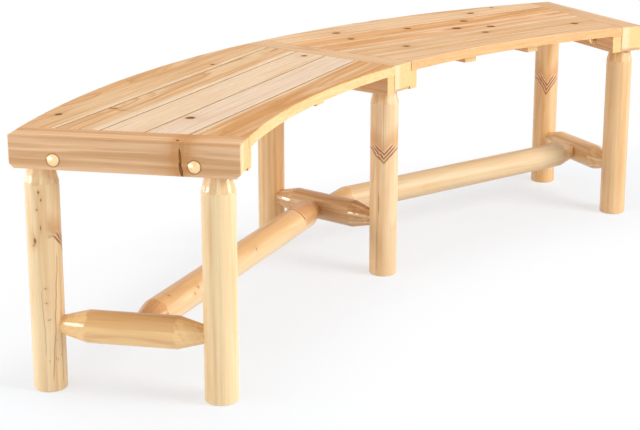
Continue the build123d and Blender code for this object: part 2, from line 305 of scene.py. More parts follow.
def addSap(s, x, y, base, strip, seed, sapAndHighlight, where=1.0):
    # a pale strip, which wanders along the grain: sapwood, and where it lies along a seat board's joint a
    # painted highlight on the rounded edge
    edge = s.line(x * 0.005 + seed * 5.0 + strip["y"], 2.0)
    reach = (y - strip["y"]).maths("ABSOLUTE") + (edge - 0.5) * strip["width"] * 0.9
    light = (1.0 - s.smooth(reach, strip["width"] * 0.3, strip["width"] * 1.3)) * where
    return s.mix(light * strip["amount"], base, sapAndHighlight)


def findMarks(s, x, y, z, field, finish, isLog):
    # everything that interrupts the plain grain, and the ring field bent round it
    nothing = x * 0.0
    marks = dict.fromkeys(("knot", "rim", "halo", "scarAndShade", "light"), nothing)
    marks.update(field=field, distance=nothing + 900.0)  # no knot is as far off as that
    for knot in finish.get("knots", ()):
        addKnot(s, x, y, z, knot, marks, isLog)
    for whorl in finish.get("whorls", ()):
        addWhorl(s, x, y, z, whorl, marks)
    for check in finish.get("checks", ()):
        addCheck(s, x, y, z, check, marks)
    for ring in finish.get("ringMarks", ()):
        addBoltHeadShade(s, x, z, ring, marks)
    if "specks" in finish:
        addSpecks(s, x, y, z, finish["specks"], marks)
    return marks


def woodMaterial(name, origin, axes, finish, isLog=False):
    look = dict(woodLook, **finish["changes"])
    material, s = newMaterial(name)
    place = s.node("TexCoord", None, None, ("Object",))
    inputs = {
        "Vector": place,
        "Location": origin,
        "Rotation": axes.to_euler("XYZ"),
        "Scale": (millimetre, millimetre, millimetre),
    }
    # from here x, y and z are millimetres on the piece, with x along the grain
    x, y, z = s.split(s.node("Mapping", {"vector_type": "TEXTURE"}, inputs))

    # growth rings are shells round the pith, which drifts along the log
    pith = finish["pith"]
    seed = pith["seed"]
    driftY, driftZ, _ = s.split(s.line(x * 0.0035 + seed, 1.0, ("Color",)))
    acrossY = y - pith["y"] - (driftY - 0.5) * look["wander"] * 2.0
    acrossZ = z - pith["z"] - x * pith.get("slopeZ", 0.0) - (driftZ - 0.5) * look["wander"] * 2.0
    uneven = s.noise(x * look["waveStretch"], y * 0.03, z * 0.03 + seed, 2.0)
    field = s.length(acrossY, acrossZ) + (uneven - 0.5) * look["waves"] * 2.0
    marks = findMarks(s, x, y, z, field, finish, isLog)

    # each ring goes slowly from pale early wood to darker late wood, then starts anew
    field = marks["field"]
    pacing = s.line(field * 0.09 + seed * 3.0, 2.0)
    turns = field / look["ringWidth"] + (pacing - 0.5) * 3.0
    ringTone = s.node("TexWhiteNoise", {"noise_dimensions": "1D"}, {"W": turns.maths("FLOOR")})
    stops = ((0.0, 0.15), (0.12, 0.0), (0.50, 0.10), (0.78, 0.5), (0.93, 1.0), (1.0, 0.15))
    late = s.split(s.node("ValToRGB", {"stops": stops}, {"Fac": turns.maths("FRACT")}))[0]
    late = late * (ringTone * 0.7 + 0.3)
    bands = s.line(field * 0.13 + seed * 7.0, 2.0)

    # noise runs long with the grain and short across it, and clouds are broad both ways
    fibres = s.noise(x * 0.022, y * 1.3, z * 1.3 + seed, 3.0, 0.65)
    strands = s.noise(x * 0.006, y * 0.42, z * 0.42 + seed, 2.0, 0.6)
    streaks = s.noise(x * 0.0028, y * 0.13, z * 0.13 + seed * 2.0, 2.0, 0.5)
    clouds = s.noise(x * 0.004 + seed, y * 0.02, z * 0.02, 2.0)

    # end grain, where the surface cuts across the log
    normal = s.node("TexCoord", None, None, ("Normal",))
    facing = s.node("VectorMath", {"operation": "DOT_PRODUCT"}, {0: normal, 1: axes.col[0]}, ("Value",))
    endGrain = s.smooth(facing.maths("ABSOLUTE"), 0.55, 0.9)
    sawn = endGrain
    # on seat boards every upright face takes the end colour; the right-hand panel's darker end colour is
    # painted shade on the front edge that the key light hits
    if finish.get("edgeToneAndShade"):
        sawn = 1.0 - s.smooth(s.split(normal)[2].maths("ABSOLUTE"), 0.3, 0.7)

    warmth = (streaks - 0.5) * look["streaks"] * 1.6 + (bands - 0.5) * look["bands"] * 1.4
    warmth = s.smooth(warmth + (clouds - 0.5) * 1.2 + (strands - 0.5) * 0.7 + look["warm"], -0.1, 1.1)
    cut = 0.0
    if isLog:
        cut = s.node("Attribute", {"attribute_name": "cut"}, None, ("Fac",))
        tone = s.node("Attribute", {"attribute_name": "tone"}, None, ("Fac",))
        marks["halo"] = marks["halo"] + (tone - 1.0).maths("MAXIMUM", 0.0)  # a strong tone turns brown
        warmth = warmth + tone
    for face in finish.get("sides", ()):
        angle = math.radians(face["angle"])
        toward = math.cos(angle) * y + math.sin(angle) * z + (clouds - 0.5) * 6.0
        turned = s.smooth(toward, face["from"], face["to"]) * (1.0 - cut)
        warmth = warmth + turned * face["warm"]
    warmth = warmth.maths("MAXIMUM", 0.0).maths("MINIMUM", 1.3)
    base = s.mix(warmth.maths("MINIMUM", 1.0), look["pale"], look["tan"])
    base = s.mix(sawn * look["endTone"], base, look["end"])
    for strip in finish.get("sapAndHighlight", ()):
        base = addSap(s, x, y, base, strip, seed, look["sapAndHighlight"])
    for strip in finish.get("endSap", ()):
        base = addSap(s, x, y, base, strip, seed, look["sapAndHighlight"], sawn)
    late = late * (1.0 - sawn * 0.55) * (1.0 - cut * 0.6)
    base = s.mix(late * look["ringContrast"], base, look["ringDark"])
    shade = 1.0 + (fibres - 0.5) * look["fibre"] * 2.0 + (strands - 0.5) * look["strand"] * 2.0
    base = s.mix(1.0, base, s.vector(shade, shade, shade), "MULTIPLY")
    base = s.mix(marks["halo"].maths("MINIMUM", 1.0) * 0.62, base, look["halo"])
    # the pale bands between the whorl lines are painted highlight
    base = s.mix(marks["light"].maths("MINIMUM", 1.0) * 0.6, base, look["sapAndHighlight"])

    knotRings = (marks["distance"] * 1.7).maths("SINE") * 0.5 + 0.5
    base = s.mix(marks["knot"] * 0.92, base, s.mix(knotRings, look["knot"], look["knotHeart"]))
    base = s.mix(marks["rim"] * 0.85, base, look["knot"])
    base = s.mix(marks["scarAndShade"].maths("MINIMUM", 1.0) * 0.9, base, look["scarAndShade"])
    # painted shade: faces within about two millimetres of each joint darken towards a dark brown, as if
    # the gap between the boards lay in shade
    if "joints" in finish:
        gapShade = 0.0
        for joint in finish["joints"]:
            gapShade = gapShade + 1.0 - s.smooth((y - joint).maths("ABSOLUTE"), 1.5, 2.3)
        base = s.mix(gapShade * look["jointShade"], base, look["joint"])

    rough = look["roughness"] + (fibres - 0.5) * 0.16 - late * 0.05 + endGrain * 0.18
    relief = fibres * 0.35 + late * 0.4 - marks["scarAndShade"] * 2.0 - marks["rim"] + strands * 0.5
    heights = {"Strength": look["bump"], "Distance": look["grainDepth"], "Height": relief}
    bump = s.node("Bump", None, heights, ("Normal",))
    coat = look["coat"]
    if isLog:
        glossy = s.smooth(cut, cutMarks["broad"], cutMarks["ridge"])
        coat = (glossy * (1.0 - look["bodyCoat"]) + look["bodyCoat"]) * coat
        coat = (1.0 - marks["scarAndShade"].maths("MINIMUM", 1.0) * 0.8) * coat
    inputs = {
        "Base Color": base,
        "Roughness": rough,
        "Normal": bump,
        "Specular IOR Level": look["specular"],
        "Coat Weight": coat,
        "Coat Roughness": look["coatRoughness"],
    }
    s.output("Material", s.node("BsdfPrincipled", None, inputs))
    return material


# the bench's plan, in metres, with places taken from the frame

plan = {
    "bendRadius": 1.670,
    "halfAngle": math.radians(27.25),
    "legSpacing": 0.302,
    "stretcherHeight": 0.115,
    "longShift": 0.020,  # long stretchers meet the middle one this far back
    "beamSide": 0.0285,
    "cleatSide": 0.0505,  # outer face of a cleat, from the beam's middle
}
up = Vector((0, 0, 1))
middleLow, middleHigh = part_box("middle_beam")
beamUnderside = middleLow.z
seatHeight = middleHigh.z
arcCentreY = (middleLow.y + middleHigh.y) / 2 - plan["bendRadius"]
frameAngles = {"left": -plan["halfAngle"], "middle": 0.0, "right": plan["halfAngle"]}
panelAngles = {"left": -plan["halfAngle"] / 2, "right": plan["halfAngle"] / 2}


def radialPoint(angle, distance, height=0.0):
    return Vector((distance * math.sin(angle), arcCentreY + distance * math.cos(angle), height))


def outwards(angle):
    return Vector((math.sin(angle), math.cos(angle), 0))


def rightwards(angle):
    return Vector((math.cos(angle), -math.sin(angle), 0))


def assign(name, material):
    for slot in nodes[name].material_slots:
        slot.material = material


# seat slats

slatRow = {"pitch": 74.5, "middle": 24.0, "count": 5}  # mm, the middle board's place off the panel's line

rightLook = {  # browner boards of the right-hand panel
    "tan": colour(0.76, 0.38, 0.145),
    "bands": 1.8,
    "streaks": 1.5,
    "ringContrast": 0.8,
    # sides and ends of the boards darker: painted shade, so the lit front edge is no brighter than the top
    "end": colour(0.74, 0.43, 0.19),
    "endTone": 0.8,
    "jointShade": 0.3,
}

# sap strips that lie along a joint are a painted highlight on the board's rounded edge, in the colour of
# sapwood
slatFinish = {
    "left_slat_1": {
        "pith": {"y": 215.0, "z": -60.0, "slopeZ": 0.015, "seed": 3.1},
        "changes": {"warm": 0.42, "bands": 1.1},
        "sapAndHighlight": [{"y": 138.0, "width": 9.0, "amount": 0.75}],
        "knots": [
            {"x": -311.8, "side": -187.6, "size": 5.5, "stretch": 1.7},
            {"x": 183.4, "side": -154.5, "size": 4.6},
        ],
    },
    "left_slat_2": {
        "pith": {"y": 128.0, "z": -50.0, "slopeZ": -0.02, "seed": 8.4},
        "changes": {"warm": 0.42, "bands": 1.3},
        "sapAndHighlight": [{"y": 64.0, "width": 14.0, "amount": 0.9}],
        "knots": [
            {"x": -233.0, "side": -127.0, "size": 3.0, "stretch": 3.2, "spin": 66.0,
             "pull": 8.0, "halo": 1.0},
            {"x": -240.0, "side": -106.0, "size": 2.4, "stretch": 5.0, "spin": 80.0,
             "pull": 6.0, "depth": 0.35},
            {"x": 372.0, "side": -110.0, "size": 1.6, "stretch": 16.0,
             "pull": 2.0, "halo": 1.0, "depth": 0.6},
        ],
    },
    "left_slat_3": {
        "pith": {"y": 190.0, "z": -70.0, "slopeZ": 0.02, "seed": 12.7},
        "changes": {"warm": 0.02, "ringContrast": 0.22, "bands": 0.5, "pale": colour(0.92, 0.69, 0.47)},
        "knots": [{"x": 341.1, "side": -25.9, "size": 6.0, "stretch": 1.3}],
    },
    "left_slat_4": {
        "pith": {"y": -200.0, "z": -60.0, "slopeZ": -0.02, "seed": 17.3},
        "changes": {"warm": -0.08, "ringContrast": 0.18, "bands": 0.4, "pale": colour(0.89, 0.68, 0.50)},
        "knots": [{"x": -241.2, "side": 31.7, "size": 8.0, "stretch": 1.25, "pull": 12.0}],
    },
    "left_slat_5": {
        "pith": {"y": -130.0, "z": -26.0, "slopeZ": 0.03, "seed": 23.9},
        "changes": {"warm": 0.72, "bands": 0.9, "ringContrast": 0.4, "tan": colour(0.68, 0.34, 0.13)},
        "sapAndHighlight": [{"y": -91.5, "width": 7.0, "amount": 0.6}],
    },
    "right_slat_1": {
        "pith": {"y": 235.0, "z": -50.0, "slopeZ": 0.02, "seed": 31.2},
        "changes": dict(rightLook, warm=0.0, pale=colour(0.97, 0.67, 0.41)),
        "sapAndHighlight": [{"y": 139.0, "width": 6.0, "amount": 0.6}, {"y": 198.0, "width": 9.0, "amount": 0.4}],
        "knots": [
            {"x": -233.1, "side": -165.0, "size": 7.2, "stretch": 1.5},
            {"x": 187.5, "side": -175.0, "size": 7.4, "stretch": 1.4},
            {"x": 285.2, "side": -202.1, "size": 5.0},
        ],
    },
    "right_slat_2": {
        "pith": {"y": 118.0, "z": -44.0, "slopeZ": -0.02, "seed": 37.7},
        "changes": dict(rightLook, warm=0.42, pale=colour(0.95, 0.57, 0.30)),
        "sapAndHighlight": [{"y": 64.0, "width": 6.0, "amount": 0.6}],
        "knots": [
            {"x": -253.4, "side": -88.5, "size": 6.9, "stretch": 1.4},
            {"x": -70.2, "side": -109.8, "size": 7.2, "stretch": 1.4},
            {"x": 99.3, "side": -104.4, "size": 7.8, "stretch": 1.5},
        ],
    },
    "right_slat_3": {
        "pith": {"y": 42.0, "z": -40.0, "slopeZ": 0.02, "seed": 41.5},
        "changes": dict(rightLook, warm=0.48, pale=colour(0.95, 0.61, 0.36)),
        "sapAndHighlight": [{"y": -10.0, "width": 9.0, "amount": 0.7}],
        "knots": [
            {"x": 19.4, "side": -43.2, "size": 9.4, "stretch": 1.5},
            {"x": 97.5, "side": -13.9, "size": 8.3, "stretch": 1.4},
        ],
    },
    "right_slat_4": {
        "pith": {"y": -170.0, "z": -60.0, "slopeZ": -0.015, "seed": 47.1},
        "changes": dict(rightLook, warm=0.2, ringContrast=0.6, pale=colour(0.84, 0.57, 0.33)),
        "sapAndHighlight": [{"y": -84.0, "width": 5.0, "amount": 0.3}],
        "knots": [
            {"x": -215.2, "side": 50.5, "size": 6.9, "stretch": 1.3},
            {"x": 35.6, "side": 32.8, "size": 6.9, "stretch": 1.3},
            {"x": 275.3, "side": 77.9, "size": 7.4, "stretch": 1.6},
        ],
    },
    "right_slat_5": {
        "pith": {"y": -220.0, "z": -70.0, "slopeZ": 0.015, "seed": 53.6},
        "changes": dict(rightLook, warm=0.15, ringContrast=0.6, pale=colour(0.86, 0.59, 0.36)),
    },
}


def finishSlats():
    for name, values in slatFinish.items():
        side, _, number = name.split("_")
        row = int(number)  # 1 at the back
        place = slatRow["middle"] + ((slatRow["count"] + 1) / 2 - row) * slatRow["pitch"]
        joints = []
        if row > 1:
            joints.append(place + slatRow["pitch"] / 2)
        if row < slatRow["count"]:
            joints.append(place - slatRow["pitch"] / 2)
        angle = panelAngles[side]
        origin = radialPoint(angle, plan["bendRadius"] * math.cos(angle), seatHeight)
        finish = dict(values, joints=joints, edgeToneAndShade=True)
        assign(name, woodMaterial(name + "_wood", origin, axesMatrix(rightwards(angle), up), finish))
    print("slats finished:", len(slatFinish))


# beams

# size and place of the painted contact shade round each bolt head
boltHeadRing = {"radius": 11.0, "width": 1.1, "height": -11.5}  # mm, from the beam's middle
boltPlace = 119.0  # mm to either side
beamLook = {
    "pale": colour(0.84, 0.55, 0.32),
    "tan": colour(0.69, 0.38, 0.18),
    "bands": 1.4,
    "ringContrast": 0.4,
    "fibre": 0.22,
    "strand": 0.18,
    "coat": 0.04,
    "end": colour(0.90, 0.58, 0.26),
    "endTone": 0.8,
}

beamFinish = {
    "left_beam": {
        "pith": {"y": -40.0, "z": -58.0, "slopeZ": 0.01, "seed": 61.0},
        "changes": dict(beamLook, warm=0.4, ringContrast=0.26, bands=1.1, pale=colour(0.93, 0.60, 0.35)),
        "endSap": [{"y": 17.0, "width": 11.0, "amount": 0.5}],
        "knots": [
            {"x": -98.0, "angle": 0.0, "side": 16.0, "size": 6.0, "stretch": 3.0, "spin": 97.0,
             "pull": 10.0, "depth": 0.12, "rim": 0.0, "halo": 2.6},
            {"x": -96.0, "angle": 0.0, "side": 3.0, "size": 2.0, "stretch": 8.5, "spin": 86.0,
             "halo": 1.2},
            {"x": -97.0, "angle": 0.0, "side": -17.0, "size": 2.6, "stretch": 5.6, "spin": 78.0,
             "halo": 1.0},
            {"x": -89.0, "side": -16.0, "size": 2.4, "stretch": 2.6, "spin": 70.0, "halo": 0.5},
        ],
        "boltHeads": True,
    },
    "middle_beam": {
        "pith": {"y": -12.0, "z": -40.0, "slopeZ": 0.02, "seed": 67.0},
        "changes": dict(beamLook, warm=0.2, ringContrast=0.35),
        "endSap": [{"y": 21.0, "width": 12.0, "amount": 0.5}],
    },
    "right_beam": {
        "pith": {"y": -34.0, "z": -34.0, "slopeZ": -0.02, "seed": 71.0},
        "changes": dict(beamLook, warm=0.28),
        "endSap": [{"y": 18.0, "width": 12.0, "amount": 0.5}],
        "knots": [{"x": 60.0, "angle": 180.0, "side": -6.0, "size": 7.0}],
        "boltHeads": True,
    },
}


def finishBeams():
    for name, values in beamFinish.items():
        angle = frameAngles[name.split("_")[0]]
        origin = radialPoint(angle, plan["bendRadius"], (beamUnderside + seatHeight) / 2)
        rings = []
        # a painted contact shade ring round each bolt head
        if "boltHeads" in values:
            rings = [dict(boltHeadRing, x=-boltPlace), dict(boltHeadRing, x=boltPlace)]
        finish = dict(values, ringMarks=rings)
        assign(name, woodMaterial(name + "_wood", origin, axesMatrix(outwards(angle), up), finish))
    print("beams finished:", len(beamFinish))


# cleats and battens

framingFinish = {
    "cleat": {
        "pith": {"y": 20.0, "z": -60.0, "slopeZ": 0.03},
        "seeds": {"left_inner": 98.0, "left_outer": 87.0, "right_inner": 91.0, "right_outer": 80.0},
        "changes": dict(beamLook, warm=0.55),
    },
    "batten": {
        "pith": {"y": -10.0, "z": -50.0, "slopeZ": 0.03},
        "seeds": {"left_inner": 138.0, "left_outer": 127.0, "right_inner": 131.0, "right_outer": 120.0},
        "changes": {"warm": 0.3},
    },
}


def finishFraming():
    for kind, values in framingFinish.items():
        for place, seed in values["seeds"].items():
            side, end = place.split("_")
            angle = panelAngles[side]
            if kind == "cleat":  # runs with the beam that it is bolted to
                angle = frameAngles["middle" if end == "inner" else side]
            name = f"{place}_{kind}"
            low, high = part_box(name)
            finish = dict(values, pith=dict(values["pith"], seed=seed))
            axes = axesMatrix(outwards(angle), up)
            assign(name, woodMaterial(name + "_wood", (low + high) / 2, axes, finish))
    print("cleats and battens finished")


# logs

logShape = {
    "sides": 96,
    "step": 0.008,
    "ripple": 0.00035,  # unevenness of the peeled surface
    "smallestRidge": math.radians(9),
    "smoothBelow": math.radians(31),
    "sliver": 1e-4,  # edges shorter than this are closed up after the cuts
    "endCorners": 7,  # a face with this many corners or more is an end
    "tenonSides": 48,
    "tenonRoot": 0.010,  # how far a tenon reaches back into its own log
}


def cutFlats(bm, layers, shape, height, slope, turn):
    # broad flats round the log's end that lean inwards by the slope, then a narrow one on each ridge
    half = math.pi / shape["flats"]
    flat = shape["neckFlat"] / 2
    ridge = flat / math.cos(half) - shape["ridge"] / 2 * math.tan(half)
    for index in range(shape["flats"] * 2):
        broad = index < shape["flats"]
        angle = turn + index * 2 * half + (half if broad else 0.0)
        out = Vector((math.cos(angle), math.sin(angle), 0))
        lean = slope if broad else slope / math.cos(half)
        normal = (out + Vector((0, 0, lean))).normalized()
        point = out * (flat if broad else ridge) + Vector((0, 0, height))
        geom = bm.verts[:] + bm.edges[:] + bm.faces[:]
        made = bmesh.ops.bisect_plane(
            bm, geom=geom, dist=1e-7, plane_co=point, plane_no=normal, clear_outer=True
        )
        rim = [item for item in made["geom_cut"] if isinstance(item, bmesh.types.BMEdge)]
        for face in bmesh.ops.contextual_create(bm, geom=rim)["faces"]:
            face[layers["cut"]] = cutMarks["broad" if broad else "ridge"]
            # a negative tone pales a narrow ridge flat: a painted highlight along the ridge
            face[layers["tone"]] = chance.uniform(*shape["facetTones"]) if broad else shape["ridgeToneAndHighlight"]


def logMesh(shape, length, necks, tenons, seed, turn, footEase=None):
    # stands on z = 0, with necks as (height, direction) and tenons as (start, end, radius)
    bm = bmesh.new()
    for layer in ("cut", "tone"):
        bm.faces.layers.float.new(layer)
    layers = {layer: bm.faces.layers.float[layer] for layer in ("cut", "tone")}  # read once both exist
    bmesh.ops.create_circle(bm, cap_ends=False, segments=logShape["sides"], radius=shape["radius"])
    steps = round(length / logShape["step"])
    edges = bm.edges[:]
    for _ in range(steps):
        grown = bmesh.ops.extrude_edge_only(bm, edges=edges)["geom"]
        verts = [item for item in grown if isinstance(item, bmesh.types.BMVert)]
        edges = [item for item in grown if isinstance(item, bmesh.types.BMEdge)]
        bmesh.ops.translate(bm, verts=verts, vec=(0, 0, length / steps))
    for vert in bm.verts:
        spot = Vector((vert.co.x * 14, vert.co.y * 14, vert.co.z * 4 + seed))
        out = Vector((vert.co.x, vert.co.y, 0)).normalized()
        vert.co += out * (noise.noise(spot) - 1) * logShape["ripple"] / 2
    bmesh.ops.holes_fill(bm, edges=[edge for edge in bm.edges if edge.is_boundary], sides=0)
    if footEase:
        rim = [edge for edge in bm.edges if all(vert.co.z < 1e-6 for vert in edge.verts)]
        bmesh.ops.bevel(
            bm, geom=rim, offset=footEase, segments=3, profile=0.5, affect="EDGES", material=-1
        )
    slope = (shape["radius"] - shape["neckFlat"] / 2) / shape["taper"]
    for height, direction in necks:
        cutFlats(bm, layers, shape, height, slope * direction, turn)
    bmesh.ops.remove_doubles(bm, verts=bm.verts, dist=logShape["sliver"])
    bmesh.ops.recalc_face_normals(bm, faces=bm.faces[:])
    ridges = [edge for edge in bm.edges if edge.calc_face_angle(0.0) > logShape["smallestRidge"]]
    eased = bmesh.ops.bevel(
        bm, geom=ridges, offset=shape["ease"], segments=2, profile=0.5, affect="EDGES", material=-1,
        clamp_overlap=True,
    )
    for face in eased["faces"]:
        face[layers["cut"]] = cutMarks["eased"]
        face[layers["tone"]] = shape["edgeTone"]
    bmesh.ops.remove_doubles(bm, verts=bm.verts, dist=logShape["sliver"] / 10)
    bmesh.ops.recalc_face_normals(bm, faces=bm.faces[:])
    for face in bm.faces:  # flats and ends stay flat
        face.smooth = face[layers["cut"]] <= cutMarks["eased"] and len(face.verts) < logShape["endCorners"]
    for start, end, radius in tenons:
        middle = Matrix.Translation((0, 0, (start + end) / 2))
        made = bmesh.ops.create_cone(
            bm, cap_ends=True, segments=logShape["tenonSides"], radius1=radius, radius2=radius,
            depth=end - start, matrix=middle,
        )
        for face in {face for vert in made["verts"] for face in vert.link_faces}:
            face.smooth = len(face.verts) < logShape["endCorners"]
    return bm


def addPiece(name, bm, matrix, replaced, material):
    bmesh.ops.transform(bm, matrix=matrix, verts=bm.verts)
    mesh = bpy.data.meshes.new(name)
    bm.to_mesh(mesh)
    bm.free()
    mesh.set_sharp_from_angle(angle=logShape["smoothBelow"])
    mesh.materials.append(material)
    piece = bpy.data.objects.new(name, mesh)
    bpy.context.scene.collection.objects.link(piece)
    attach(piece, "root")
    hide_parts(replaced)


legShape = {
    "radius": 0.029,
    "flats": 9,
    "neckFlat": 0.044,  # across the neck at the beam
    "taper": 0.030,
    "ridge": 0.0055,  # width of the narrow flats
    "ease": 0.0006,
    "footEase": 0.003,
    "tenonRadius": 0.016,
    "tenonLength": 0.036,
    "facetTones": (0.1, 0.6),  # how much browner a broad flat is than the peeled log
    # paler narrow flats: a painted highlight along each ridge
    "ridgeToneAndHighlight": -0.4,
    "edgeTone": -0.1,
}

legFinish = {
    "left_front_leg": {
        "turn": 24.7,
        "pith": {"y": 4.0, "z": -3.0, "seed": 101.0},
        "changes": dict(logLook, warm=0.06, ringContrast=0.13, bands=0.4, pale=colour(0.97, 0.72, 0.40)),
    },
    "left_back_leg": {
        "turn": 29.7,
        "pith": {"y": -4.0, "z": 5.0, "seed": 107.0},
        "changes": dict(logLook, warm=0.1, ringContrast=0.26, pale=colour(0.96, 0.71, 0.40)),
        "knots": [
            {"x": 270.0, "angle": -164.0, "size": 2.1, "stretch": 2.6, "halo": 1.3},
            {"x": 262.0, "angle": -169.0, "size": 1.2, "stretch": 2.2, "spin": 50.0, "depth": 0.6},
            {"x": 293.0, "angle": -142.0, "size": 1.2, "stretch": 4.0, "depth": 0.6},
            {"x": 324.0, "angle": -152.0, "size": 1.4, "stretch": 1.6, "depth": 0.8},
            {"x": 341.0, "angle": -137.0, "size": 1.2, "stretch": 2.6, "depth": 0.8},
            {"x": 354.0, "angle": -144.0, "size": 1.5, "stretch": 2.0, "depth": 0.9},
            {"x": 187.0, "angle": -135.0, "size": 1.3, "depth": 0.7},
            {"x": 161.0, "angle": -134.0, "size": 1.3, "depth": 0.7},
            {"x": 131.0, "angle": -129.0, "size": 1.1, "depth": 0.6},
        ],
        "whorls": [{"x": 240.0, "angle": -42.0, "slope": 1.5, "reach": 30.0, "gap": 9.0, "patch": 52.0}],
        "checks": [
            {"x": 18.0, "end": 250.0, "angle": -122.0, "slope": 0.07,
             "drift": 8.0, "width": 0.8, "depth": 0.7},
            {"x": 10.0, "end": 150.0, "angle": -84.0, "drift": 2.0, "width": 0.9, "depth": 0.6},
            {"x": 60.0, "end": 190.0, "angle": -140.0, "slope": -0.04,
             "drift": 9.0, "width": 0.7, "depth": 0.5},
        ],
        "specks": 0.3,
    },
    "middle_front_leg": {
        "turn": 22.0,
        "pith": {"y": 3.0, "z": 4.0, "seed": 113.0},
        "changes": dict(logLook, warm=0.24, ringContrast=0.32, pale=colour(0.88, 0.66, 0.40)),
        "whorls": [{"x": 244.0, "angle": -146.0, "slope": 1.08, "reach": 34.0, "gap": 8.5, "patch": 66.0}],
        "checks": [
            {"x": 130.0, "end": 185.0, "angle": -165.0, "drift": 2.0, "width": 0.9, "depth": 0.8},
            {"x": 8.0, "end": 105.0, "angle": -172.0, "drift": 3.0, "width": 0.8, "depth": 0.5},
            {"x": 262.0, "end": 392.0, "angle": -148.0, "drift": 3.0, "width": 0.9, "depth": 0.4},
        ],
    },
    "middle_back_leg": {
        "turn": 26.0,
        "pith": {"y": -3.0, "z": -4.0, "seed": 119.0},
        "changes": dict(logLook, warm=0.5, ringContrast=0.3),
    },
    "right_front_leg": {
        "turn": 1.2,
        "pith": {"y": 5.0, "z": 2.0, "seed": 127.0},
        "changes": dict(logLook, warm=0.5, ringContrast=0.3),
    },
    "right_back_leg": {
        "turn": 3.2,
        "pith": {"y": -5.0, "z": 1.0, "seed": 131.0},
        "changes": dict(logLook, warm=0.68, ringContrast=0.36),
        "whorls": [{"x": 232.0, "angle": -146.0, "slope": 1.5, "reach": 31.0, "gap": 10.0, "patch": 62.0}],
    },
}


def makeLegs():
    axes = axesMatrix(up, Vector((0, 1, 0)))  # a mark's angle is then a compass angle from +X
    for name, finish in legFinish.items():
        frameName, place, _ = name.split("_")
        angle = frameAngles[frameName]
        shift = plan["legSpacing"] / 2 * (1 if place == "back" else -1)
        foot = radialPoint(angle, plan["bendRadius"] + shift)
        root, tip = beamUnderside - logShape["tenonRoot"], beamUnderside + legShape["tenonLength"]
        bm = logMesh(
            legShape, beamUnderside, [(beamUnderside, 1)], [(root, tip, legShape["tenonRadius"])],
            finish["pith"]["seed"], math.radians(finish["turn"]), legShape["footEase"],
        )
        matrix = Matrix.Translation(foot) @ Matrix.Rotation(math.pi / 2 - angle, 4, "Z")
        material = woodMaterial(name + "_wood", foot, axes, finish, isLog=True)
        addPiece(name + "_log", bm, matrix, name, material)
    print("legs made:", len(legFinish))


crossShape = {
    "radius": 0.0285,
    "flats": 8,
    "neckFlat": 0.033,
    "taper": 0.048,
    "ridge": 0.007,
    "ease": 0.0006,
    "sunk": 0.006,  # how far the log's own end stands inside the curve of its host
    "tenonRadius": 0.013,
    "tenonLength": 0.028,
    "facetTones": (-0.1, 0.5),
    # paler narrow flats: a painted highlight along each ridge
    "ridgeToneAndHighlight": -0.5,
    "edgeTone": 0.5,
}
longShape = dict(crossShape, tenonRadius=0.011, tenonLength=0.024)

stretcherFinish = {
    "left_cross_stretcher": {
        "turn": 23.0,
        "pith": {"y": 3.0, "z": 5.0, "seed": 137.0},
        "changes": dict(
            logLook, warm=0.12, ringContrast=0.4,
            pale=colour(0.98, 0.63, 0.28), tan=colour(0.79, 0.46, 0.18),
        ),
        "sides": [{"angle": 105.0, "warm": 0.85, "from": -1.0, "to": 2.5}],
        "shape": {"facetTones": (-0.3, 0.1), "edgeTone": 0.0},
    },
    "middle_cross_stretcher": {
        "turn": 16.0,
        "pith": {"y": 4.0, "z": -3.0, "seed": 139.0},
        "changes": dict(
            logLook, warm=0.7, tan=colour(0.61, 0.34, 0.15), ringContrast=0.7, fibre=0.4, strand=0.4
        ),
    },
    "right_cross_stretcher": {
        "turn": 10.0,
        "pith": {"y": -4.0, "z": 4.0, "seed": 149.0},
        "changes": dict(logLook, warm=0.5),
    },
    "left_long_stretcher": {
        "turn": 20.0,
        "pith": {"y": 5.0, "z": -4.0, "seed": 151.0},
        "changes": dict(logLook, warm=0.0, ringContrast=0.34, pale=colour(0.90, 0.66, 0.36)),
        "sides": [{"angle": 62.0, "warm": 0.7, "from": -4.0, "to": 10.0}],
        "shape": {"facetTones": (1.3, 1.7), "ridgeToneAndHighlight": 1.5, "edgeTone": 2.4},
        "knots": [
            {"x": 105.0, "angle": 112.0, "size": 2.2, "depth": 0.5, "halo": 1.2},
            {"x": 172.0, "angle": 160.0, "size": 2.0, "depth": 0.5, "halo": 1.2},
            {"x": 190.0, "angle": 146.0, "size": 2.4, "depth": 0.45, "halo": 1.2},
            {"x": 430.0, "angle": 150.0, "size": 2.4, "depth": 0.6},
        ],
        "whorls": [
            {"x": 652.0, "angle": 112.0, "slope": 0.3, "reach": 26.0,
             "gap": 8.0, "patch": 330.0, "lines": 1},
        ],
    },
    "right_long_stretcher": {
        "turn": 5.0,
        "pith": {"y": -5.0, "z": 3.0, "seed": 157.0},
        "changes": dict(logLook, warm=0.16, ringContrast=0.26, pale=colour(0.75, 0.58, 0.35)),
        "shape": {"facetTones": (0.4, 0.8), "ridgeToneAndHighlight": 0.2, "edgeTone": 1.2},
    },
}


